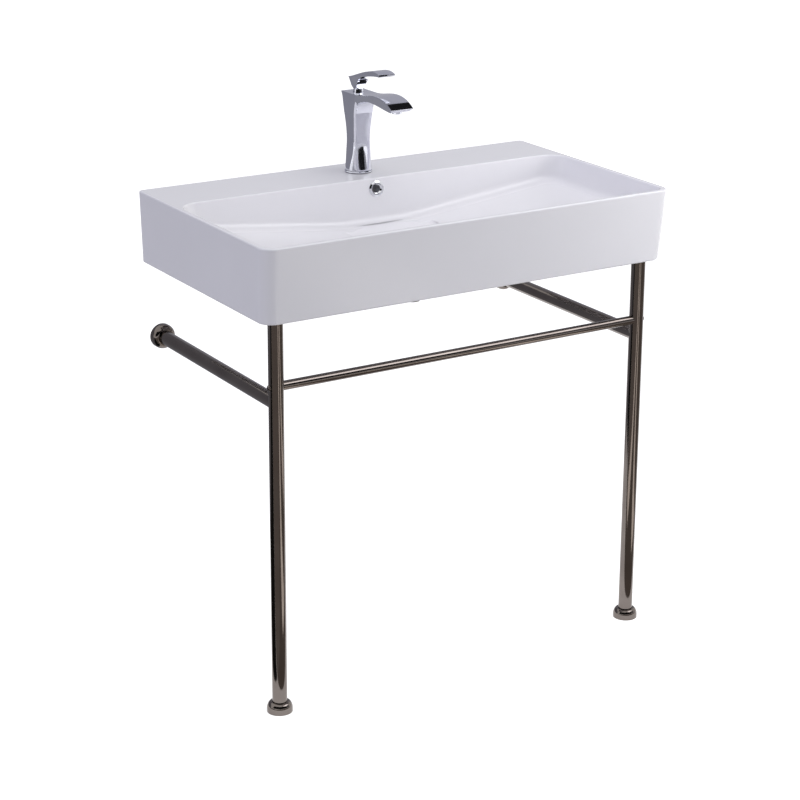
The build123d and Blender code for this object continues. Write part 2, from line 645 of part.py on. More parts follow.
def tap_cartridge_seals():
    """Soft seals between the cartridge's foot and the two inlet passages."""
    foot = cartridge_foot()
    seals = []
    for side in (-1, 1):
        seal = ring(foot, foot + CARTRIDGE_SEAL, INLET_BORE / 4 + 1.4, INLET_BORE / 4)
        seals.append(at_tap(Pos(side * INLET_SPACING / 2, INLET_BACK, 0) * seal))
    return Compound(children=seals)


def tap_cartridge_nut():
    """Threaded ring that holds the cartridge down in its well."""
    foot = cartridge_top()
    outer = CARTRIDGE_DIAMETER / 2 + 0.5 - SCREW_FIT
    body = ring(foot, foot + CARTRIDGE_NUT_HEIGHT - 1, outer, CARTRIDGE_NECK / 2 + SEAT_GAP)
    for turn in range(4):
        notch = slab(outer - 2.2, outer + 1, -1.5, 1.5, foot + 2, foot + CARTRIDGE_NUT_HEIGHT)
        body -= Rot(0, 0, 90 * turn) * notch
    return at_tap(body)


def tap_cover_ring():
    """Thin cover round the lever's ball, level with the top of the tap."""
    foot = TAP_TOP_Z - COVER_RING_HEIGHT
    inner = BALL_RADIUS + MOVING_GAP
    return at_tap(ring(foot, TAP_TOP_Z, COVER_RING_DIAMETER / 2, inner))


def tap_rotor():
    """Spindle that turns for temperature, with a fork for the lever's pivot pin."""
    foot = cartridge_top() - ROTOR_DEPTH + SEAT_GAP
    radius = ROTOR_DIAMETER / 2
    body = between(foot, PIVOT_Z + 3.2, radius)
    half = STEM_WIDTH / 2 + SCREW_FIT
    body -= slab(-half, half, -radius - 1, radius + 1, PIVOT_Z - 6, PIVOT_Z + 5)
    pin = Pos(0, 0, PIVOT_Z) * Rot(0, 90, 0) * Cylinder(ROTOR_PIN_DIAMETER / 2 + 0.02, ROTOR_DIAMETER + 2)
    return at_tap(body - pin)


def tap_rotor_pin():
    """Pivot pin that the lever tilts on."""
    pin = Rot(0, 90, 0) * Cylinder(ROTOR_PIN_DIAMETER / 2, ROTOR_DIAMETER - 0.6)
    return at_tap(Pos(0, 0, PIVOT_Z) * pin)


def tap_stem():
    """Flat stem that tilts on the pin and carries the lever."""
    half = STEM_WIDTH / 2
    deep = STEM_DEPTH / 2
    body = slab(-half, half, -deep, deep, PIVOT_Z, PIVOT_Z + STEM_LENGTH)
    body += Pos(0, 0, PIVOT_Z) * Rot(0, 90, 0) * Cylinder(deep, STEM_WIDTH)
    hole = Pos(0, 0, PIVOT_Z) * Rot(0, 90, 0) * Cylinder(ROTOR_PIN_DIAMETER / 2 + 0.05, STEM_WIDTH + 2)
    return at_tap(body - hole)


def lever_side():
    """Side shape of the lever: neck, arched paddle and thin tip."""
    rear_top = (-14, PIVOT_Z + 25.5)
    tip_top = (LEVER_REACH, PIVOT_Z + 44.5)
    tip_foot = (LEVER_REACH + 0.3, PIVOT_Z + 41)
    front_foot = (NECK_HALF, PIVOT_Z)
    rear = Polyline(front_foot, (-NECK_HALF, PIVOT_Z), (-NECK_HALF, PIVOT_Z + 5), rear_top)
    top = Spline(rear_top, *[(ahead, PIVOT_Z + rise) for ahead, rise in LEVER_TOP], tip_top)
    tip = Line(tip_top, tip_foot)
    under = Spline(tip_foot, *[(ahead, PIVOT_Z + rise) for ahead, rise in LEVER_UNDER], front_foot,
                   tangents=[(-1, 0.02), (0, -1)])
    return side_curve_solid(rear + top + tip + under, LEVER_TIP_HALF + 2)


def tap_lever():
    """Lever: hollow ball at the foot, flared neck and flat paddle."""
    right = [(half, PIVOT_Z + rise) for half, rise in LEVER_FRONT]
    left = [(-half, z) for half, z in reversed(right)]
    flanks = extrude(Plane.XZ * make_face(Polyline(*right, *left, close=True)), 2 * LEVER_REACH, both=True)
    tip = LEVER_REACH + 2
    plan = make_face(Polyline(
        (-LEVER_REAR_HALF, LEVER_REAR), (LEVER_REAR_HALF, LEVER_REAR), (LEVER_TIP_HALF, -LEVER_WIDEST),
        (LEVER_TIP_HALF, -tip), (-LEVER_TIP_HALF, -tip), (-LEVER_TIP_HALF, -LEVER_WIDEST), close=True))
    plan_solid = extrude(Pos(0, 0, PIVOT_Z - NECK_ROUND) * plan, LEVER_REACH)
    neck = [(0, -NECK_ROUND), (NECK_HALF, -NECK_ROUND), (NECK_HALF, NECK_ROUND), *LEVER_FLARE]
    flare = turned([(radius, PIVOT_Z + rise) for radius, rise in neck])
    blade = lever_side() & flanks & plan_solid & flare
    blade += Pos(0, 0, PIVOT_Z) * Sphere(BALL_RADIUS)
    rear_cut = BALL_RADIUS * 2
    cutter = Pos(0, 0, PIVOT_Z - BALL_CUT) * Rot(BALL_CUT_TILT, 0, 0) * slab(
        -rear_cut, rear_cut, -rear_cut, rear_cut, -rear_cut, 0)
    blade -= cutter
    blade -= Pos(0, 0, PIVOT_Z) * Sphere(BALL_HOLLOW)
    half = STEM_WIDTH / 2 + SCREW_FIT
    deep = STEM_DEPTH / 2 + SCREW_FIT
    blade -= slab(-half, half, -deep, deep, PIVOT_Z, PIVOT_Z + STEM_LENGTH + SEAT_GAP)
    blade -= lever_screw_axis() * Cylinder(SET_SCREW_DIAMETER / 2 + SCREW_FIT, 30, align=LOW)
    return at_tap(blade)


def lever_screw_axis():
    """Axis of the lever's set screw, from the stem's rear face out through the neck."""
    return Pos(0, STEM_DEPTH / 2, PIVOT_Z + LEVER_SCREW_RISE) * Rot(-90, 0, 0)


def tap_lever_screw():
    """Set screw that locks the lever to its stem."""
    body = Cylinder(SET_SCREW_DIAMETER / 2, LEVER_SCREW_LENGTH, align=LOW)
    socket = RegularPolygon(1.1, 6, major_radius=False)
    body -= Pos(0, 0, LEVER_SCREW_LENGTH - 2) * extrude(socket, 3)
    return at_tap(lever_screw_axis() * body)


def tap_lever_plug():
    """Small plain plug that closes the set screw's hole."""
    body = Cylinder(SET_SCREW_DIAMETER / 2, LEVER_PLUG_LENGTH, align=LOW)
    return at_tap(lever_screw_axis() * Pos(0, 0, LEVER_SCREW_LENGTH + SEAT_GAP) * body)


def tap_mounting_stud():
    """Threaded stud from the tap's foot down through the deck."""
    top = TAP_FOOT_Z + TAP_STUD_THREAD - SEAT_GAP
    stud = between(top - TAP_STUD_LENGTH, top, STUD_DIAMETER / 2)
    return at_tap(Pos(0, -TAP_STUD_FORWARD, 0) * stud)


def horseshoe(bottom, top):
    """Horseshoe plate round the supply tails, with a hole for the stud."""
    plate = between(bottom, top, CLAMP_DIAMETER / 2)
    mouth = HORSESHOE_MOUTH / 2
    plate -= slab(-mouth, mouth, 0, CLAMP_DIAMETER, bottom - 1, top + 1)
    plate -= between(bottom - 1, top + 1, mouth)
    tab = Pos(0, -TAP_STUD_FORWARD, 0) * between(bottom, top, STUD_DIAMETER)
    plate += tab
    return plate - Pos(0, -TAP_STUD_FORWARD, 0) * between(bottom - 1, top + 1, STUD_BORE / 2)


def clamp_top():
    """Underside of the deck, where the tap is clamped."""
    return RIM_HEIGHT - DECK_THICKNESS


def tap_clamp_gasket():
    """Soft horseshoe against the underside of the deck."""
    return at_tap(horseshoe(clamp_top() - CLAMP_GASKET_THICKNESS, clamp_top()))


def tap_clamp_plate():
    """Steel horseshoe under the soft one."""
    top = clamp_top() - CLAMP_GASKET_THICKNESS
    return at_tap(horseshoe(top - CLAMP_PLATE_THICKNESS, top))


def tap_stud_nut():
    """Long nut that pulls the tap down onto the deck."""
    top = clamp_top() - CLAMP_GASKET_THICKNESS - CLAMP_PLATE_THICKNESS
    nut = hexagon(STUD_NUT_ACROSS, top - STUD_NUT_HEIGHT, top)
    nut -= between(top - STUD_NUT_HEIGHT - 1, top + 1, STUD_BORE / 2)
    return at_tap(Pos(0, -TAP_STUD_FORWARD, 0) * nut)


def at_leg(side, body):
    """Move a piece made on the Z axis to the left or right leg."""
    return Pos(side * LEG_X, LEG_Y, 0) * body


def along_x(height, length, radius):
    """Round bar or hole across X at a height on the leg's axis."""
    return Pos(0, 0, height) * Rot(0, 90, 0) * Cylinder(radius, length)


def leg_top():
    """Top of the leg's tube inside the basin's socket."""
    return SOCKET_TOP - LEG_TOP_GAP


def leg(side):
    """Straight leg tube with holes for the cross rail's screw."""
    tube = ring(LEG_FOOT_GAP, leg_top(), TUBE_RADIUS, TUBE_BORE_RADIUS)
    tube -= along_x(CROSS_RAIL_HEIGHT, TUBE_DIAMETER * 2, CROSS_SCREW_HOLE / 2)
    return at_leg(side, tube)


def tube_plug(end, inward, height):
    """Headed plug in a tube's end, its shank pointing inwards, bored for a stud."""
    radius = TUBE_BORE_RADIUS - TUBE_FIT
    shank = between(*sorted((end, end + inward * height)), radius)
    head = between(*sorted((end, end - inward * PLUG_HEAD)), TUBE_RADIUS - MOVING_GAP)
    bore = between(end - height - 5, end + height + 5, STUD_BORE / 2)
    return shank + head - bore


def leg_top_plug(side):
    """Plug in the top of the leg that carries the adjusting screw."""
    return at_leg(side, tube_plug(leg_top(), -1, PLUG_LENGTH))


def leg_top_screw(side):
    """Adjusting screw with its hexagon collar, between leg and basin."""
    top = SOCKET_TOP - PAD_THICKNESS
    foot = leg_top() - PLUG_LENGTH - 4
    screw = between(foot, top, STUD_DIAMETER / 2)
    return at_leg(side, screw + hexagon(STUD_NUT_ACROSS, top - 4, top))


def leg_top_pad(side):
    """Soft pad between the adjusting screw and the china."""
    return at_leg(side, between(SOCKET_TOP - PAD_THICKNESS, SOCKET_TOP, SOCKET_DIAMETER / 2 - 1))


def leg_collar(side):
    """Soft sleeve that centres the leg in the mouth of the socket."""
    foot = FOOT_Z + COLLAR_SETBACK
    outer = SOCKET_DIAMETER / 2 - TUBE_FIT
    return at_leg(side, ring(foot, foot + COLLAR_LENGTH, outer, TUBE_RADIUS + TUBE_FIT))


def leg_foot_plug(side):
    """Plug in the foot of the leg that carries the levelling foot."""
    return at_leg(side, tube_plug(LEG_FOOT_GAP, 1, PLUG_LENGTH))


def levelling_foot(side):
    """Levelling foot: round pad on a threaded stud."""
    pad = turned([(0, 0), (PAD_RADIUS, 0), (PAD_RADIUS, 2.5), (PAD_RADIUS - 2, 4), (0, 4)])
    stud = between(3, LEG_FOOT_GAP + PLUG_LENGTH - 2, STUD_DIAMETER / 2)
    return at_leg(side, pad + stud)


def domed_flange():
    """Domed round cover that slides on a tube, open underneath, along +Z."""
    outer = FLANGE_DIAMETER / 2
    lip = TUBE_RADIUS + 0.15
    shape = dome_profile(lip, outer, 0, FLANGE_HEIGHT, FLANGE_SIDE)
    inside = dome_profile(0, outer - FLANGE_SHEET, -1, FLANGE_HEIGHT - FLANGE_SHEET, FLANGE_SIDE - 0.5)
    return shape - inside - between(-2, FLANGE_HEIGHT + 1, lip)


def dome_profile(lip, outer, foot, top, side):
    """Dome of revolution with an upright side and a quarter ellipse up to its lip."""
    crown = max(lip + 1, 1)
    arc = EllipticalCenterArc((crown, side), outer - crown, top - side, start_angle=0, arc_size=90)
    sides = Polyline((crown, top), (0, top), (0, foot), (outer, foot), (outer, side))
    return revolve(Plane.XZ * make_face(arc + sides), Axis.Z)


def foot_flange(side):
    """Domed cover at the foot of a leg."""
    return at_leg(side, domed_flange())


def at_rail(side):
    """Frame of a side rail: its Z axis runs from the wall forward along the rail."""
    return Pos(side * LEG_X, WALL_Y, SIDE_RAIL_HEIGHT) * Rot(90, 0, 0)


def side_rail(side):
    """Side rail tube, coped to the leg at the front and open to the wall plate behind."""
    length = WALL_Y - LEG_Y
    tube = ring(PLATE_THICKNESS, length, TUBE_RADIUS, TUBE_BORE_RADIUS)
    rail = at_rail(side) * (tube - set_screw_space(TUBE_RADIUS + 1))
    return rail - at_leg(side, between(0, leg_top(), TUBE_RADIUS + TUBE_FIT))


def set_screw_space(reach):
    """Hole for the set screw on the underside of a rail."""
    hole = Cylinder(SET_SCREW_DIAMETER / 2 + SCREW_FIT, reach, align=LOW)
    return Pos(0, 0, SET_SCREW_FROM_WALL) * Rot(90, 0, 0) * hole


def wall_plate(side):
    """Round wall plate with two screw holes and a spigot for the rail."""
    plate = between(0, PLATE_THICKNESS, PLATE_DIAMETER / 2)
    spigot = ring(0, SPIGOT_LENGTH, TUBE_BORE_RADIUS - TUBE_FIT, SPIGOT_BORE / 2)
    plate += spigot
    plate -= between(-1, PLATE_THICKNESS + 1, SPIGOT_BORE / 2)
    for end in (-1, 1):
        hole = Cylinder(PLATE_HOLE / 2, 3 * PLATE_THICKNESS)
        plate -= Pos(end * PLATE_HOLE_SPACING / 2, 0, 0) * hole
    return at_rail(side) * (plate - set_screw_space(TUBE_RADIUS))


def wall_flange(side):
    """Domed cover over the wall plate."""
    return at_rail(side) * domed_flange()


def rail_set_screws():
    """Set screws that lock the side rails on their wall plates."""
    screws = []
    inner = SPIGOT_BORE / 2
    for side in (-1, 1):
        screw = Pos(0, 0, inner) * Cylinder(SET_SCREW_DIAMETER / 2, TUBE_RADIUS - inner, align=LOW)
        socket = extrude(RegularPolygon(1.0, 6, major_radius=False), 3)
        screw -= Pos(0, 0, TUBE_RADIUS - 2) * socket
        screws.append(at_rail(side) * Pos(0, 0, SET_SCREW_FROM_WALL) * Rot(90, 0, 0) * screw)
    return Compound(children=screws)


def cross_rail():
    """Thin rail between the legs, its ends coped to them."""
    tube = Cylinder(CROSS_RAIL_DIAMETER / 2, 2 * LEG_X)
    tube -= Cylinder(CROSS_RAIL_DIAMETER / 2 - CROSS_RAIL_WALL, 2 * LEG_X + 2)
    rail = Pos(0, LEG_Y, CROSS_RAIL_HEIGHT) * Rot(0, 90, 0) * tube
    for side in (-1, 1):
        rail -= at_leg(side, between(0, leg_top(), TUBE_RADIUS + TUBE_FIT))
    return rail


def cross_rail_plugs():
    """Threaded plugs fixed in the two ends of the cross rail."""
    plugs = []
    for side in (-1, 1):
        inner = LEG_X - TUBE_RADIUS
        length = CROSS_PLUG_LENGTH
        radius = CROSS_RAIL_DIAMETER / 2 - CROSS_RAIL_WALL - TUBE_FIT
        place = Pos(side * (inner - length / 2), LEG_Y, CROSS_RAIL_HEIGHT)
        plug = place * Rot(0, 90, 0) * Cylinder(radius, length)
        plug -= at_leg(side, along_x(CROSS_RAIL_HEIGHT, 200, CROSS_SCREW_DIAMETER / 2 + SCREW_FIT))
        plugs.append(plug - at_leg(side, between(0, leg_top(), TUBE_RADIUS + TUBE_FIT)))
    return Compound(children=plugs)


def cross_rail_screws():
    """Dome-head screws through the legs into the cross rail's plugs."""
    screws = []
    head = CROSS_SCREW_HEAD / 2
    shank = CROSS_SCREW_DIAMETER / 2
    profile = [(0, 0), (head, 0), (head, 0.8), (head * 0.75, 2.3), (head * 0.4, 3), (0, 3)]
    for side in (-1, 1):
        screw = turned(profile) + between(-CROSS_SCREW_LENGTH, 0.5, shank)
        screw -= Pos(0, 0, 1.6) * extrude(RegularPolygon(1.5, 6, major_radius=False), 3)
        place = Pos(side * (LEG_X + TUBE_RADIUS), LEG_Y, CROSS_RAIL_HEIGHT) * Rot(0, side * 90, 0)
        screws.append(place * screw)
    return Compound(children=screws)


PAIRS = {
    "leg": leg, "leg_top_plug": leg_top_plug, "leg_top_screw": leg_top_screw, "leg_top_pad": leg_top_pad,
    "leg_collar": leg_collar, "leg_foot_plug": leg_foot_plug, "levelling_foot": levelling_foot,
    "foot_flange": foot_flange, "side_rail": side_rail, "wall_plate": wall_plate, "wall_flange": wall_flange}

SINGLES = [
    basin, overflow_ring, waste_body, waste_bowl_gasket, waste_cone_washer, waste_slip_washer,
    waste_lock_nut, waste_tail_pipe, waste_click_cartridge, waste_plunger, waste_cap, waste_cap_seal,
    tap_base_seal, tap_base_ring, tap_body, tap_aerator_housing, tap_aerator_insert, tap_cartridge,
    tap_cartridge_seals, tap_cartridge_nut, tap_cover_ring, tap_rotor, tap_rotor_pin, tap_stem,
    tap_lever, tap_lever_screw, tap_lever_plug, tap_mounting_stud, tap_clamp_gasket, tap_clamp_plate,
    tap_stud_nut, cross_rail, cross_rail_plugs, cross_rail_screws, rail_set_screws]


def write_parts():
    """Write one STEP file per sub-part."""
    os.makedirs("parts", exist_ok=True)
    for build in SINGLES:
        export_step(build(), f"parts/{build.__name__}.step")
    for name, build in PAIRS.items():
        for side, word in ((-1, "left"), (1, "right")):
            export_step(build(side), f"parts/{name}_{word}.step")


if __name__ == "__main__":
    write_parts()
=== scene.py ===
"""Finishes, fine shapes and studio for a china console basin on a tube stand."""

import json
import logging
import math
from dataclasses import dataclass
from enum import Enum

import bmesh
import bpy
from mathutils import Matrix, Vector


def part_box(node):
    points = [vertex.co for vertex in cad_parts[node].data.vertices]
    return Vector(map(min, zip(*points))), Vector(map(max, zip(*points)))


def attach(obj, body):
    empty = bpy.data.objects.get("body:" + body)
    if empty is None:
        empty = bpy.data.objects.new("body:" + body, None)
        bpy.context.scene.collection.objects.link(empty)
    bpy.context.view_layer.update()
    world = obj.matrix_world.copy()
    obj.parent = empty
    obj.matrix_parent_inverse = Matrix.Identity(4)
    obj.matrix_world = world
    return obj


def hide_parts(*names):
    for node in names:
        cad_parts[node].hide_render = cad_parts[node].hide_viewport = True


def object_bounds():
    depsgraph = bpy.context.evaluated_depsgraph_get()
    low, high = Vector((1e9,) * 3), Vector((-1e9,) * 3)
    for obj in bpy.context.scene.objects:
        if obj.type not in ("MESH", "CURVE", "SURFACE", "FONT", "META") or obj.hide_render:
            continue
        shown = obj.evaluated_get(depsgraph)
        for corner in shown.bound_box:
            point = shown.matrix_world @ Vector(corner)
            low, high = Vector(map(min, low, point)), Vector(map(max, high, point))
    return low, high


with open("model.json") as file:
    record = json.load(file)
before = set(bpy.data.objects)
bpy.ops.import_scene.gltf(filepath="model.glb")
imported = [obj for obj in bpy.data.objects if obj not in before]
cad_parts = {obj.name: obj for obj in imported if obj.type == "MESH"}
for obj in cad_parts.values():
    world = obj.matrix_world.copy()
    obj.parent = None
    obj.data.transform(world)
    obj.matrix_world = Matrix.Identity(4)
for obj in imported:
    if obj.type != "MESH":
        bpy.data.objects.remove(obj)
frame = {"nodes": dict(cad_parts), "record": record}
CAD_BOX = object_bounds()

LOG = logging.getLogger("console_basin")
Triple = tuple[float, float, float]
Colour = Triple
MM = 0.001
EVEN = (1.0, 1.0, 1.0)


class Rays(Enum):
    """Kinds of ray that the plain white backdrop answers with full white."""

    CAMERA = "Is Camera Ray"
    GLOSSY = "Is Glossy Ray"
    TRANSMISSION = "Is Transmission Ray"


class Board:
    """Node tree of one material or world, with short calls for the nodes that the finishes share."""

    def __init__(self, tree: bpy.types.NodeTree) -> None:
        """Start with an empty tree."""
        self.tree = tree
        self.tree.nodes.clear()

    def add(self, kind: str, **settings: object) -> bpy.types.Node:
        """Add a node.

        Args:
            kind: Blender's name of the node type.
            settings: Properties of the node, by name.

        Returns:
            The new node.
        """
        node = self.tree.nodes.new(kind)
        for name, value in settings.items():
            setattr(node, name, value)
        return node

    def link(self, source: bpy.types.NodeSocket, target: bpy.types.NodeSocket) -> None:
        """Join an output to an input."""
        self.tree.links.new(source, target)

    def place(self, stretch: Triple = EVEN) -> bpy.types.NodeSocket:
        """Give object coordinates in metres.

        Args:
            stretch: Factor on each axis; a small one draws the pattern out along it.

        Returns:
            The vector socket.
        """
        coordinates = self.add("ShaderNodeTexCoord")
        mapping = self.add("ShaderNodeMapping")
        mapping.inputs["Scale"].default_value = stretch
        self.link(coordinates.outputs["Object"], mapping.inputs["Vector"])
        return mapping.outputs["Vector"]

    def noise(self, scale: float, detail: float, stretch: Triple = EVEN) -> bpy.types.NodeSocket:
        """Give a noise pattern.

        Args:
            scale: Waves per metre.
            detail: How many finer layers it holds.
            stretch: Factor on each axis.

        Returns:
            The value socket, from 0 to 1.
        """
        node = self.add("ShaderNodeTexNoise")
        node.inputs["Scale"].default_value = scale
        node.inputs["Detail"].default_value = detail
        self.link(self.place(stretch), node.inputs["Vector"])
        return node.outputs["Fac"]

    def spread(self, value: bpy.types.NodeSocket, low: float, high: float,
               start: float = 0.3, end: float = 0.7) -> bpy.types.NodeSocket:
        """Map a pattern onto a range.

        Args:
            value: The pattern.
            low: Result at the start.
            high: Result at the end.
            start: Pattern value that gives low.
            end: Pattern value that gives high.

        Returns:
            The mapped value socket.
        """
        node = self.add("ShaderNodeMapRange")
        for name, number in (("From Min", start), ("From Max", end), ("To Min", low), ("To Max", high)):
            node.inputs[name].default_value = number
        self.link(value, node.inputs["Value"])
        return node.outputs["Result"]

    def blend(self, share: bpy.types.NodeSocket, first: Colour, second: Colour) -> bpy.types.NodeSocket:
        """Mix two colours.

        Args:
            share: Share of the second colour.
            first: Colour at 0.
            second: Colour at 1.

        Returns:
            The colour socket.
        """
        node = self.add("ShaderNodeMix", data_type="RGBA")
        node.inputs["A"].default_value = (*first, 1.0)
        node.inputs["B"].default_value = (*second, 1.0)
        self.link(share, node.inputs["Factor"])
        return node.outputs["Result"]

    def bump(self, height: bpy.types.NodeSocket, strength: float, distance: float,
             under: bpy.types.NodeSocket | None = None) -> bpy.types.NodeSocket:
        """Turn a pattern into relief.

        Args:
            height: The pattern.
            strength: Share of the relief that shows.
            distance: Its height in metres.
            under: Relief that this one lies on.

        Returns:
            The normal socket.
        """
        node = self.add("ShaderNodeBump")
        node.inputs["Strength"].default_value = strength
        node.inputs["Distance"].default_value = distance
        self.link(height, node.inputs["Height"])
        if under is not None:
            self.link(under, node.inputs["Normal"])
        return node.outputs["Normal"]

    def any_ray(self) -> bpy.types.NodeSocket:
        """Find the rays that see the backdrop as plain white.

        Returns:
            The value socket, 1 for those rays and 0 for the rest.
        """
        path = self.add("ShaderNodeLightPath")
        total = path.outputs[Rays.CAMERA.value]
        for rays in (Rays.GLOSSY, Rays.TRANSMISSION):
            highest = self.add("ShaderNodeMath", operation="MAXIMUM")
            self.link(total, highest.inputs[0])
            self.link(path.outputs[rays.value], highest.inputs[1])
            total = highest.outputs["Value"]
        return total


@dataclass(frozen=True)
class Finish:
    """A surface: two shades of a colour, a range of roughness and two layers of relief.

    Scales are in waves per metre, and the heights of the relief in metres.
    """

    name: str
    light: Colour
    dark: Colour
    shade_scale: float
    smooth: float
    rough: float
    wave: float = 0.0
    wave_scale: float = 12.0
    grain: float = 0.0
    grain_scale: float = 600.0
    stretch: Triple = EVEN
    metallic: float = 0.0
    specular: float = 0.5
    subsurface: float = 0.0
    subsurface_radius: Triple = (4.0 * MM, 4.0 * MM, 3.0 * MM)
    shade_detail: float = 4.0
    wave_detail: float = 1.0
    grain_detail: float = 3.0

    def material(self) -> bpy.types.Material:
        """Build the material.

        Returns:
            A node material that reads object coordinates.
        """
        made = bpy.data.materials.new(self.name)
        made.use_nodes = True
        board = Board(made.node_tree)
        shader = board.add("ShaderNodeBsdfPrincipled")
        output = board.add("ShaderNodeOutputMaterial")
        board.link(shader.outputs["BSDF"], output.inputs["Surface"])
        shader.inputs["Metallic"].default_value = self.metallic
        shader.inputs["Specular IOR Level"].default_value = self.specular
        shader.inputs["Subsurface Weight"].default_value = self.subsurface
        shader.inputs["Subsurface Radius"].default_value = self.subsurface_radius
        pattern = board.noise(self.shade_scale, self.shade_detail, self.stretch)
        self.colour(board, pattern, shader)
        board.link(board.spread(pattern, self.smooth, self.rough), shader.inputs["Roughness"])
        self.relief(board, shader)
        return made

    def colour(self, board: Board, pattern: bpy.types.NodeSocket, shader: bpy.types.Node) -> None:
        """Colour the surface from its two shades."""
        share = board.spread(pattern, 0.0, 1.0)
        board.link(board.blend(share, self.light, self.dark), shader.inputs["Base Color"])

    def relief(self, board: Board, shader: bpy.types.Node) -> None:
        """Add the long waves and the fine grain.

        Args:
            board: The material's board.
            shader: The shader that gets the relief.
        """
        normal = None
        if self.wave:
            normal = board.bump(board.noise(self.wave_scale, self.wave_detail), 1.0, self.wave)
        if self.grain:
            grain = board.noise(self.grain_scale, self.grain_detail, self.stretch)
            normal = board.bump(grain, 1.0, self.grain, normal)
        if normal is not None:
            board.link(normal, shader.inputs["Normal"])


@dataclass(frozen=True)
class Glaze(Finish):
    """Glazed china whose foot is left bare where it stood in the kiln."""

    bare: Colour = (0.72, 0.69, 0.63)
    foot: float = 0.0
    foot_edge: float = 1.2 * MM

    def colour(self, board: Board, pattern: bpy.types.NodeSocket, shader: bpy.types.Node) -> None:
        """Colour the glaze, and the bare clay at the foot.

        Args:
            board: The material's board.
            pattern: The pattern that mixes the glaze's two shades.
            shader: The shader that gets the colour.
        """
        glaze = board.blend(board.spread(pattern, 0.0, 1.0), self.light, self.dark)
        height = board.add("ShaderNodeSeparateXYZ")
        board.link(board.place(), height.inputs["Vector"])
        bare = board.spread(height.outputs["Z"], 1.0, 0.0, self.foot, self.foot + self.foot_edge)
        mix = board.add("ShaderNodeMix", data_type="RGBA")
        board.link(bare, mix.inputs["Factor"])
        board.link(glaze, mix.inputs["A"])
        mix.inputs["B"].default_value = (*self.bare, 1.0)
        board.link(mix.outputs["Result"], shader.inputs["Base Color"])


def finishes() -> dict[str, Finish]:
    """Give the finish of each material slot, by the slot's name."""
    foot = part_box("basin")[0].z
    return {
        "china": Glaze("white_glaze", (0.870, 0.864, 0.892), (0.850, 0.844, 0.872), 7.0, 0.13, 0.18,
                       wave=0.00020, wave_scale=9.0, grain=0.000006, grain_scale=420.0,
                       specular=0.32, foot=foot),
        "tap_chrome": Finish("bright_chrome", (0.80, 0.81, 0.87), (0.74, 0.75, 0.82), 30.0, 0.045, 0.08,
                             wave=0.00002, wave_scale=28.0, grain=0.0000008, grain_scale=900.0,
                             metallic=1.0),
        "chrome_trim": Finish("chrome_trim", (0.80, 0.81, 0.84), (0.74, 0.75, 0.78), 60.0, 0.05, 0.10,
                              grain=0.000001, grain_scale=900.0, metallic=1.0),
        "stand_metal": Finish("polished_nickel", (0.205, 0.180, 0.165), (0.165, 0.142, 0.130), 18.0,
                              0.08, 0.13, wave=0.00002, wave_scale=40.0, grain=0.0000004,
                              grain_scale=300.0, metallic=1.0),
        "steel": Finish("zinc_plated_steel", (0.62, 0.62, 0.64), (0.47, 0.48, 0.50), 220.0, 0.25, 0.42,
                        grain=0.000008, grain_scale=900.0, metallic=1.0),
        "brass": Finish("turned_brass", (0.78, 0.60, 0.33), (0.66, 0.48, 0.24), 160.0, 0.18, 0.34,
                        grain=0.000006, grain_scale=1200.0, stretch=(0.3, 0.3, 3.0), metallic=1.0),
        "white_plastic": Finish("white_nylon", (0.80, 0.80, 0.78), (0.74, 0.74, 0.71), 90.0, 0.32, 0.46,
                                grain=0.00001, grain_scale=800.0),
        "black_plastic": Finish("black_nylon", (0.035, 0.035, 0.038), (0.022, 0.022, 0.024), 110.0,
                                0.38, 0.55, grain=0.00002, grain_scale=700.0),
        "black_rubber": Finish("black_rubber", (0.026, 0.026, 0.028), (0.016, 0.016, 0.017), 70.0,
                               0.62, 0.80, grain=0.00003, grain_scale=500.0),
        "soft_seal": Finish("grey_silicone", (0.58, 0.58, 0.57), (0.50, 0.50, 0.49), 60.0, 0.36, 0.50,
                            grain=0.00001, grain_scale=500.0, subsurface=0.3)}


class Wardrobe:
    """All finishes as materials, by the names of their material slots."""

    def __init__(self) -> None:
        """Build one material for each slot."""
        self.materials = {slot: finish.material() for slot, finish in finishes().items()}

    def dress_nodes(self) -> None:
        """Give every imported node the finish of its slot."""
        for row in frame["record"]["subparts"]:
            node = frame["nodes"][row["node"]]
            self.wear(node, row["material_slot"])

    def wear(self, piece: bpy.types.Object, slot: str) -> None:
        """Put a slot's finish on a piece.

        Args:
            piece: The mesh object.
            slot: Name of the material slot.
        """
        if not piece.material_slots:
            piece.data.materials.append(self.materials[slot])
        for place in piece.material_slots:
            place.material = self.materials[slot]
        LOG.info("%s wears %s", piece.name, slot)


@dataclass
class Camera:
    """Camera at the photographer's place, in metres and radians."""

    place: Triple = (-1.9406, -3.1115, 1.7038)
    turn: float = 0.5617
    tilt: float = 0.2979
    roll: float = 0.0075
    focal_length: float = 98.28
    shift: tuple[float, float] = (-0.0173, -0.1)

    def build(self) -> bpy.types.Object:
        """Make the camera and set it as the scene's.

        Returns:
            The camera object.
        """
        data = bpy.data.cameras.new("photo_camera")
        data.lens = self.focal_length
        data.shift_x, data.shift_y = self.shift
        camera = bpy.data.objects.new("photo_camera", data)
        aim = Matrix.Rotation(-self.turn, 4, "Z") @ Matrix.Rotation(math.pi / 2 - self.tilt, 4, "X")
        camera.matrix_world = Matrix.Translation(self.place) @ aim @ Matrix.Rotation(self.roll, 4, "Z")
        bpy.context.scene.collection.objects.link(camera)
        bpy.context.scene.camera = camera
        return camera


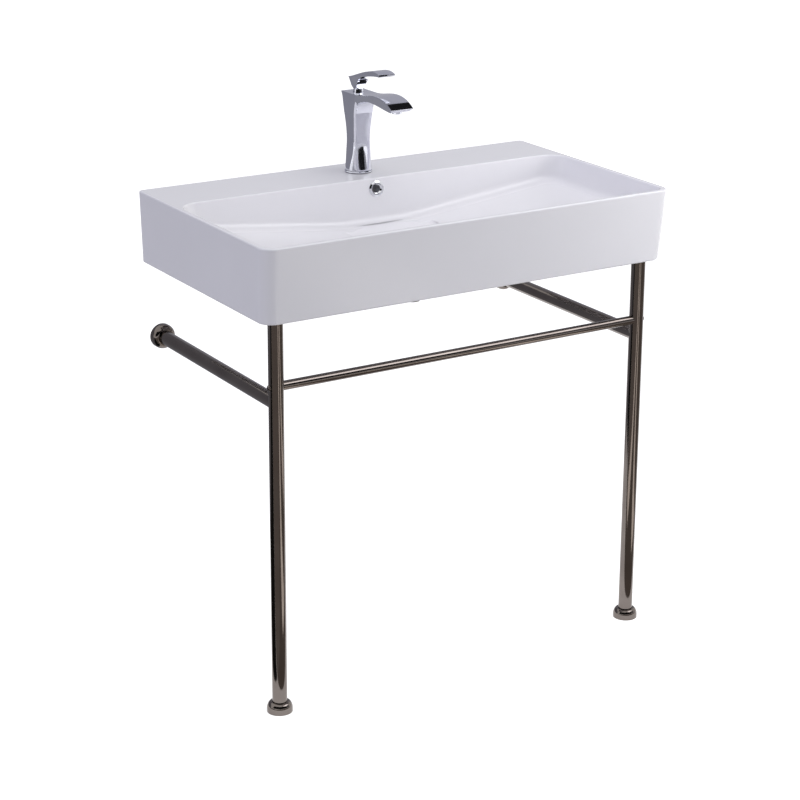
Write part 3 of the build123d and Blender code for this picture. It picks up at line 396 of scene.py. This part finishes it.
@dataclass
class Studio:
    """Pale floor, white surroundings, soft lamps and the cards that metal reflects."""

    floor_size: float = 60.0
    aim_share: float = 0.75
    surround: float = 0.44
    cool_side: Colour = (1.66, 1.66, 1.93)
    cool_from: float = -0.6
    floor_shade: float = 0.62
    floor_lift: float = 0.82
    key_place: Triple = (0.85, -0.80, 0.95)
    key_size: float = 0.35
    key_power: float = 3.3
    top_place: Triple = (0.5, -0.6, 3.2)
    top_size: float = 2.0
    top_power: float = 26.0

    def build(self) -> None:
        """Make the whole studio."""
        self.make_world()
        self.make_floor()
        target = Vector((0.0, 0.0, CAD_BOX[1].z * self.aim_share))
        self.make_lamp("key_lamp", self.key_place, self.key_size, self.key_power, target)
        self.make_lamp("top_lamp", self.top_place, self.top_size, self.top_power, target)
        self.make_cards()
        bpy.context.scene.view_settings.view_transform = "Standard"

    def make_world(self) -> None:
        """White surroundings, dimmer and cooler to the left where they only light the object."""
        world = bpy.data.worlds.new("white_room")
        world.use_nodes = True
        board = Board(world.node_tree)
        background = board.add("ShaderNodeBackground")
        output = board.add("ShaderNodeOutputWorld")
        coordinates = board.add("ShaderNodeTexCoord")
        direction = board.add("ShaderNodeSeparateXYZ")
        board.link(coordinates.outputs["Generated"], direction.inputs["Vector"])
        left = board.spread(direction.outputs["X"], 1.0, 0.0, self.cool_from, 0.0)
        cool = board.add("ShaderNodeMix", data_type="RGBA")
        board.link(left, cool.inputs["Factor"])
        cool.inputs["A"].default_value = (1.0, 1.0, 1.0, 1.0)
        cool.inputs["B"].default_value = (*self.cool_side, 1.0)
        plain = board.add("ShaderNodeMix", data_type="RGBA")
        board.link(board.any_ray(), plain.inputs["Factor"])
        board.link(cool.outputs["Result"], plain.inputs["A"])
        plain.inputs["B"].default_value = (1.0, 1.0, 1.0, 1.0)
        board.link(plain.outputs["Result"], background.inputs["Color"])
        strength = board.spread(board.any_ray(), self.surround, 1.0, 0.0, 1.0)
        board.link(strength, background.inputs["Strength"])
        board.link(background.outputs["Background"], output.inputs["Surface"])
        bpy.context.scene.world = world

    def make_floor(self) -> None:
        """Pale floor that keeps the shadow and runs into the white behind it."""
        floor = new_piece("studio_floor", grid(self.floor_size, self.floor_size, Matrix.Identity(4)))
        made = bpy.data.materials.new("pale_floor")
        made.use_nodes = True
        board = Board(made.node_tree)
        matt = board.add("ShaderNodeBsdfDiffuse")
        matt.inputs["Color"].default_value = (self.floor_shade, self.floor_shade, self.floor_shade, 1.0)
        glow = board.add("ShaderNodeEmission")
        board.link(board.spread(board.any_ray(), 0.0, self.floor_lift, 0.0, 1.0), glow.inputs["Strength"])
        both = board.add("ShaderNodeAddShader")
        output = board.add("ShaderNodeOutputMaterial")
        board.link(matt.outputs["BSDF"], both.inputs[0])
        board.link(glow.outputs["Emission"], both.inputs[1])
        board.link(both.outputs["Shader"], output.inputs["Surface"])
        floor.data.materials.append(made)

    def make_lamp(self, name: str, place: Triple, size: float, power: float, target: Vector) -> None:
        """Make a square soft lamp that metal does not reflect.

        Args:
            name: Name of the lamp.
            place: Where it stands.
            size: Side of its face in metres.
            power: Its power in watts.
            target: What it faces.
        """
        data = bpy.data.lights.new(name, "AREA")
        data.size = size
        data.energy = power
        lamp = bpy.data.objects.new(name, data)
        aim = (target - Vector(place)).to_track_quat("-Z", "Y").to_matrix().to_4x4()
        lamp.matrix_world = Matrix.Translation(place) @ aim
        lamp.visible_glossy = False
        bpy.context.scene.collection.objects.link(lamp)

    def make_cards(self) -> None:
        """Put up the cards that show only in reflections, for the bands on metal."""
        for card in CARDS:
            card.build()


@dataclass(frozen=True)
class Card:
    """A plain card that shows only in reflections."""

    name: str
    centre: Triple
    facing: Triple
    width: float
    height: float
    glow: Colour = (0.010, 0.010, 0.011)

    def build(self) -> None:
        """Make the card, which shows only in reflections."""
        aim = Vector(self.facing).to_track_quat("Z", "Y").to_matrix().to_4x4()
        piece = new_piece(self.name, grid(self.width, self.height, Matrix.Translation(self.centre) @ aim))
        made = bpy.data.materials.new(self.name)
        made.use_nodes = True
        board = Board(made.node_tree)
        glow = board.add("ShaderNodeEmission")
        brightest = max(self.glow)
        glow.inputs["Color"].default_value = (*(part / brightest for part in self.glow), 1.0)
        glow.inputs["Strength"].default_value = brightest
        output = board.add("ShaderNodeOutputMaterial")
        board.link(glow.outputs["Emission"], output.inputs["Surface"])
        piece.data.materials.append(made)
        piece.visible_camera = False
        piece.visible_diffuse = False
        piece.visible_shadow = False
        piece.visible_transmission = False


OUTER_SHARE = 0.8
EDGE_SHARE = 0.9
DRILL_SIDES = 96
PLANE_REACH = 1e-7
UPWARD = (0.0, 0.0, 1.0)
DOWNWARD = (0.0, 0.0, -1.0)
BACKWARD = (0.0, -1.0, 0.0)
CARDS = (
    Card("floor_card_left", (-1.90, -1.75, 0.02), UPWARD, 2.90, 3.0, (0.30, 0.27, 0.25)),
    Card("floor_card_middle", (0.03, -1.75, 0.02), UPWARD, 0.96, 3.0, (0.22, 0.19, 0.17)),
    Card("floor_card_right", (1.70, -1.75, 0.02), UPWARD, 2.40, 3.0, (0.24, 0.21, 0.19)),
    Card("floor_card_side", (-2.0, 0.13, 0.02), UPWARD, 3.1, 0.74, (0.02, 0.02, 0.02)),
    Card("floor_streak_left", (-0.10, -1.85, 0.03), UPWARD, 0.26, 2.9, (1.7, 1.6, 1.5)),
    Card("floor_streak_right", (0.62, -1.85, 0.03), UPWARD, 0.26, 2.9, (1.7, 1.6, 1.5)),
    Card("floor_card_back", (-2.0, 1.35, 0.02), UPWARD, 4.2, 1.7, (0.27, 0.27, 0.30)),
    Card("front_card", (0.0, -2.40, 1.70), (0.0, 1.0, 0.0), 3.0, 2.10),
    Card("front_left_card", (-2.25, -1.20, 1.70), (0.848, 0.53, 0.0), 2.83, 2.10),
    Card("front_right_card", (2.60, -2.40, 1.75), (-0.5, 0.87, 0.0), 2.6, 2.00, (0.24, 0.24, 0.26)),
    Card("floor_card_far", (0.0, -7.5, 0.02), UPWARD, 12.0, 8.0, (0.58, 0.58, 0.62)),
    Card("bright_card", (1.45, -1.65, 2.66), (-0.516, 0.45, -0.73), 2.6, 1.2, (4.0, 4.0, 4.1)),
    Card("overhead_card", (1.40, 0.35, 3.0), DOWNWARD, 2.6, 1.7),
    Card("high_back_card", (1.50, 2.0, 2.75), (-0.516, -0.65, -0.55), 3.4, 1.7, (0.40, 0.40, 0.45)),
    Card("left_back_card", (-2.10, 2.20, 0.95), BACKWARD, 4.9, 2.1, (0.25, 0.25, 0.285)),
    Card("right_back_card", (2.60, 2.20, 0.95), BACKWARD, 4.5, 2.1, (0.40, 0.40, 0.45)))


def grid(width: float, height: float, place: Matrix) -> bmesh.types.BMesh:
    """Make a flat sheet of one face.

    Args:
        width: Size along its own X.
        height: Size along its own Y.
        place: Where it lies.

    Returns:
        The sheet's mesh.
    """
    mesh = bmesh.new()
    bmesh.ops.create_grid(mesh, x_segments=1, y_segments=1, size=0.5)
    bmesh.ops.scale(mesh, vec=(width, height, 1.0), verts=mesh.verts)
    bmesh.ops.transform(mesh, matrix=place, verts=mesh.verts)
    return mesh


def new_piece(name: str, mesh: bmesh.types.BMesh) -> bpy.types.Object:
    """Turn a mesh into an object at the origin.

    Args:
        name: Name of the piece.
        mesh: Its shape in the frame's coordinates. It is freed.

    Returns:
        The new object, linked to the scene.
    """
    data = bpy.data.meshes.new(name)
    mesh.to_mesh(data)
    mesh.free()
    piece = bpy.data.objects.new(name, data)
    bpy.context.scene.collection.objects.link(piece)
    return piece


@dataclass
class TapBody:
    """Cast tap body as one smooth skin: waisted column, arched spout and turned-down lip.

    The heights of the cuts and the points of the spout are in millimetres. Each point of the spout has
    its reach forward from the tap's axis, and its height over the tap's top.
    """

    top_radius: float = 6.0 * MM
    waist_radius: float = 11.5 * MM
    waist_half: float = 17.4 * MM
    waist_rise: float = 52.0 * MM
    waist_roundness: float = 0.25
    flare: float = 1.2
    top_half: float = 22.0 * MM
    top_ease: float = 1.2
    top_collar: float = 3.0 * MM
    cut_share: float = 0.6
    cut_rises: tuple[float, ...] = (2.0, 20.0, 38.0, 52.0, 70.0, 90.0, 105.0)
    round_swell: float = 1.026
    crease_above: float = 2.0 * MM
    foot_radius: float = 23.9 * MM
    arch_drop: float = 34.0 * MM
    spout_top: tuple[tuple[float, float], ...] = (
        (26.0, 0.0), (34.0, 0.2), (50.0, 2.2), (68.0, 5.8),
        (88.0, 8.8), (108.0, 8.6), (126.0, 4.8), (139.0, -0.8))
    spout_under: tuple[tuple[float, float], ...] = (
        (24.0, -22.0), (31.0, -14.0), (45.0, -8.6), (64.0, -6.6),
        (86.0, -7.8), (106.0, -10.4), (124.0, -12.6), (134.0, -13.4))
    lip_top: tuple[float, float] = (148.2, -7.0)
    lip_under: tuple[float, float] = (140.0, -14.0)
    front_facing: float = -0.7
    edge_bevel: float = 0.7 * MM
    smoothing: int = 3
    well_depth: float = 34.0 * MM
    well_wall: float = 3.1 * MM
    foot_bore_depth: float = 18.0 * MM
    foot_bore_radius: float = 16.5 * MM
    mouth_depth: float = 30.0 * MM
    mouth_gap: float = 0.2 * MM
    seat_fit: float = 0.05 * MM
    over: float = 10.0 * MM
    crease_turn: float = math.radians(50.0)
    bevel_turn: float = math.radians(35.0)
    shade_turn: float = math.radians(40.0)

    def __post_init__(self) -> None:
        """Take the places that the frame gives."""
        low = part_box("tap_body")[0]
        spindle_low, spindle_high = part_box("tap_rotor")
        self.axis_y = (spindle_low.y + spindle_high.y) / 2
        self.foot_z = low.z
        ring_low, ring_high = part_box("tap_cover_ring")
        self.top_z = ring_high.z
        self.ring_drop = ring_high.z - ring_low.z
        self.ring_radius = (ring_high.x - ring_low.x) / 2
        aerator_low, aerator_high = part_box("tap_aerator_housing")
        self.mouth_y = (aerator_low.y + aerator_high.y) / 2
        self.mouth_radius = (aerator_high.x - aerator_low.x) / 2
        self.mouth_top = aerator_high.z
        self.height = self.top_z - self.foot_z

    def section(self, rise: float) -> tuple[float, float, float]:
        """Give the column's section at a height.

        Args:
            rise: Height above the foot.

        Returns:
            Half width, corner size and roundness, which is 1 for a circle and 0 for a rounded square.
        """
        if rise < self.waist_rise:
            share = rise / self.waist_rise
            half = self.waist_half + (self.foot_radius - self.waist_half) * (1.0 - share) ** self.flare
            return half, self.waist_radius, 1.0 - smooth_step(share) * (1.0 - self.waist_roundness)
        share = smooth_step((rise - self.waist_rise) / (self.height - self.waist_rise))
        half = self.waist_half + (self.top_half - self.waist_half) * share ** self.top_ease
        radius = self.waist_radius + (self.top_radius - self.waist_radius) * share
        return half, radius, self.waist_roundness * (1.0 - share)

    def cage(self) -> bmesh.types.BMesh:
        """Shape the coarse cage from a block.

        Returns:
            The cage's mesh, with creases on the edges that stay crisp.
        """
        mesh = bmesh.new()
        bmesh.ops.create_cube(mesh, size=2.0)
        bmesh.ops.translate(mesh, vec=(0.0, 0.0, 1.0), verts=mesh.verts)
        bmesh.ops.scale(mesh, vec=(1.0, 1.0, self.height / 2), verts=mesh.verts)
        for place in (-self.cut_share, 0.0, self.cut_share):
            cut(mesh, (place, 0.0, 0.0), (1.0, 0.0, 0.0))
            cut(mesh, (0.0, place, 0.0), (0.0, 1.0, 0.0))
        rises = [rise * MM for rise in self.cut_rises]
        for rise in (*rises, self.height - self.arch_drop, self.height - self.top_collar):
            cut(mesh, (0.0, 0.0, rise), (0.0, 0.0, 1.0))
        for vertex in mesh.verts:
            self.shape_column(vertex)
        self.draw_spout(mesh)
        return mesh

    def squared_place(self, part: float, half: float, radius: float) -> float:
        """Give one coordinate of a point on the rounded square.

        Args:
            part: The point's coordinate on the block, from -1 to 1.
            half: Half width of the section.
            radius: Size of its corner.

        Returns:
            The coordinate in metres.
        """
        inner = (half - radius) * abs(part) / self.cut_share
        return math.copysign(half if abs(part) > OUTER_SHARE else inner, part)

    def shape_column(self, vertex: bmesh.types.BMVert) -> None:
        """Move a point of the block to its place on the column's section.

        Args:
            vertex: The point.
        """
        half, radius, roundness = self.section(vertex.co.z)
        flat = Vector((vertex.co.x, vertex.co.y))
        edge = max(abs(flat.x), abs(flat.y))
        squared = Vector([self.squared_place(part, half, radius) for part in flat])
        angles = {0.0: 0.0, self.cut_share: math.pi / 8, 1.0: math.pi / 4}
        if edge > OUTER_SHARE:
            along = min(abs(flat.x), abs(flat.y))
            angle = angles[round(along, 1)]
            swollen = half * self.round_swell
            first, second = math.cos(angle) * swollen, math.sin(angle) * swollen
            if abs(flat.x) < abs(flat.y):
                first, second = second, first
            rounded = Vector((math.copysign(first, flat.x), math.copysign(second, flat.y)))
            squared = squared.lerp(rounded, roundness)
        vertex.co.x = squared.x
        vertex.co.y = squared.y

    def draw_spout(self, mesh: bmesh.types.BMesh) -> None:
        """Draw the spout out of the column's front, a step at a time.

        Args:
            mesh: The cage.
        """
        floor = self.height - self.arch_drop
        faces = [face for face in mesh.faces
                 if face.normal.y < self.front_facing and face.calc_center_median().z > floor]
        stations = [*zip(self.spout_top, self.spout_under), (self.lip_top, self.lip_under)]
        for top, under in stations:
            drawn = bmesh.ops.extrude_face_region(mesh, geom=faces)["geom"]
            bmesh.ops.delete(mesh, geom=faces, context="FACES_KEEP_BOUNDARY")
            faces = [item for item in drawn if isinstance(item, bmesh.types.BMFace)]
            points = {vertex for face in faces for vertex in face.verts}
            levels = sorted({round(vertex.co.z, 6) for vertex in points})
            low, high = levels[0], levels[-1]
            for vertex in points:
                share = (vertex.co.z - low) / (high - low)
                side = round(vertex.co.x / max(abs(other.co.x) for other in points), 3)
                inner = min(abs(side), OUTER_SHARE)
                width = 1.0 if abs(side) > EDGE_SHARE else inner
                vertex.co.x = math.copysign(self.top_half, side) * width
                vertex.co.y = -(under[0] + (top[0] - under[0]) * share) * MM
                vertex.co.z = self.height + (under[1] + (top[1] - under[1]) * share) * MM

    def build(self, wardrobe: "Wardrobe") -> bpy.types.Object:
        """Make the body, bore it and dress it.

        Args:
            wardrobe: The finishes.

        Returns:
            The finished body.
        """
        mesh = self.cage()
        crease_sharp(mesh, self.crease_turn, self.height - self.arch_drop + self.crease_above)
        bmesh.ops.translate(mesh, vec=(0.0, self.axis_y, self.foot_z), verts=mesh.verts)
        bmesh.ops.recalc_face_normals(mesh, faces=mesh.faces)
        body = new_piece("tap_body_cast", mesh)
        add_modifier(body, "SUBSURF", levels=self.smoothing, render_levels=self.smoothing)
        add_modifier(body, "BEVEL", width=self.edge_bevel, segments=2, limit_method="ANGLE",
                     angle_limit=self.bevel_turn)
        seat_low, seat_radius = self.top_z - self.ring_drop, self.ring_radius + self.seat_fit
        well_low, well_radius = self.top_z - self.well_depth, self.ring_radius - self.well_wall
        foot_low, foot_high = self.foot_z - self.over, self.foot_z + self.foot_bore_depth
        mouth_low, mouth_high = self.mouth_top - self.mouth_depth, self.mouth_top + self.mouth_gap
        bore(body, self.axis_y, seat_low, self.top_z + self.over, seat_radius)
        bore(body, self.axis_y, well_low, self.top_z, well_radius)
        bore(body, self.axis_y, foot_low, foot_high, self.foot_bore_radius)
        bore(body, self.mouth_y, mouth_low, mouth_high, self.mouth_radius + self.seat_fit)
        smooth_shade(body, self.shade_turn)
        wardrobe.wear(body, "tap_chrome")
        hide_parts("tap_body")
        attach(body, "root")
        return body


@dataclass(frozen=True)
class SoftEdges:
    """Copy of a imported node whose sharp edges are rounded, as polishing or turning leaves them."""

    node: str
    body: str
    radius: float
    segments: int = 3
    least_turn: float = math.radians(30.0)

    def build(self, wardrobe: Wardrobe) -> bpy.types.Object:
        """Make the softened copy in the node's place.

        Args:
            wardrobe: The finishes.

        Returns:
            The softened piece.
        """
        mesh = bmesh.new()
        mesh.from_mesh(frame["nodes"][self.node].data)
        bmesh.ops.remove_doubles(mesh, verts=mesh.verts, dist=WELD)
        bmesh.ops.dissolve_limit(mesh, angle_limit=FLAT_TURN, verts=mesh.verts, edges=mesh.edges)
        sharp = [edge for edge in mesh.edges
                 if len(edge.link_faces) == 2 and edge.calc_face_angle() > self.least_turn]
        bmesh.ops.bevel(mesh, geom=sharp, offset=self.radius, offset_type="OFFSET", affect="EDGES",
                        segments=self.segments, profile=0.5, material=-1, clamp_overlap=True)
        bmesh.ops.recalc_face_normals(mesh, faces=mesh.faces)
        piece = new_piece(f"{self.node}_soft", mesh)
        smooth_shade(piece, self.least_turn)
        wardrobe.wear(piece, slot_of(self.node))
        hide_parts(self.node)
        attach(piece, self.body)
        return piece


WELD = 0.002 * MM
FLAT_TURN = math.radians(0.5)
SOFTENED = (
    SoftEdges("tap_lever", "tap_handle", 0.5 * MM),
    SoftEdges("tap_stud_nut", "root", 0.4 * MM),
    SoftEdges("waste_lock_nut", "root", 0.5 * MM),
    SoftEdges("tap_clamp_plate", "root", 0.3 * MM))


def slot_of(node: str) -> str:
    """Give the material slot that the record names for a node."""
    return next(row["material_slot"] for row in frame["record"]["subparts"] if row["node"] == node)


def smooth_step(share: float) -> float:
    """Give the share eased at both ends."""
    held = min(max(share, 0.0), 1.0)
    return held * held * (3.0 - 2.0 * held)


def cut(mesh: bmesh.types.BMesh, place: Triple, across: Triple) -> None:
    """Cut a mesh with a plane, and keep both halves."""
    everything = [*mesh.verts, *mesh.edges, *mesh.faces]
    bmesh.ops.bisect_plane(mesh, geom=everything, dist=PLANE_REACH, plane_co=place, plane_no=across)


def crease_sharp(mesh: bmesh.types.BMesh, least: float, above: float) -> None:
    """Crease the edges that turn sharply above a height, so that smoothing keeps them.

    Args:
        mesh: The cage.
        least: Least turn in radians.
        above: Height above which edges are creased.
    """
    bmesh.ops.recalc_face_normals(mesh, faces=mesh.faces)
    layer = mesh.edges.layers.float.get("crease_edge") or mesh.edges.layers.float.new("crease_edge")
    for edge in mesh.edges:
        if len(edge.link_faces) == 2 and edge.calc_face_angle() > least:
            if min(vertex.co.z for vertex in edge.verts) > above:
                edge[layer] = 1.0


def add_modifier(piece: bpy.types.Object, kind: str, **settings: object) -> None:
    """Apply a modifier to a piece's mesh.

    Args:
        piece: The mesh object.
        kind: Blender's name of the modifier.
        settings: Its properties, by name.
    """
    modifier = piece.modifiers.new(kind.lower(), kind)
    for name, value in settings.items():
        setattr(modifier, name, value)
    graph = bpy.context.evaluated_depsgraph_get()
    data = bpy.data.meshes.new_from_object(piece.evaluated_get(graph), depsgraph=graph)
    piece.modifiers.clear()
    piece.data = data


def bore(piece: bpy.types.Object, centre_y: float, low: float, high: float, radius: float) -> None:
    """Bore a piece with an upright round drill on the plane x = 0.

    Args:
        piece: The mesh object.
        centre_y: Place of the drill's axis.
        low: Its lowest height.
        high: Its highest height.
        radius: Its radius.
    """
    mesh = bmesh.new()
    bmesh.ops.create_cone(mesh, cap_ends=True, segments=DRILL_SIDES, radius1=radius, radius2=radius,
                          depth=high - low)
    bmesh.ops.translate(mesh, vec=(0.0, centre_y, (low + high) / 2), verts=mesh.verts)
    drill = new_piece("drill", mesh)
    add_modifier(piece, "BOOLEAN", operation="DIFFERENCE", object=drill, solver="EXACT")
    bpy.data.objects.remove(drill)


def smooth_shade(piece: bpy.types.Object, sharpest: float) -> None:
    """Shade a piece smooth, with crisp edges where it turns by more than an angle.

    Args:
        piece: The mesh object.
        sharpest: That angle in radians.
    """
    mesh = bmesh.new()
    mesh.from_mesh(piece.data)
    for face in mesh.faces:
        face.smooth = True
    for edge in mesh.edges:
        edge.smooth = len(edge.link_faces) != 2 or edge.calc_face_angle() < sharpest
    mesh.to_mesh(piece.data)
    mesh.free()


def main() -> None:
    """Build the camera, the studio and every sub-assembly in order."""
    logging.basicConfig(level=logging.INFO, format="%(name)s: %(message)s")
    Camera().build()
    Studio().build()
    wardrobe = Wardrobe()
    wardrobe.dress_nodes()
    pieces = [TapBody().build(wardrobe)]
    pieces.extend(softened.build(wardrobe) for softened in SOFTENED)
    for piece in pieces:
        LOG.info("%s has %d faces", piece.name, len(piece.data.polygons))


if __name__ == "__main__":
    main()
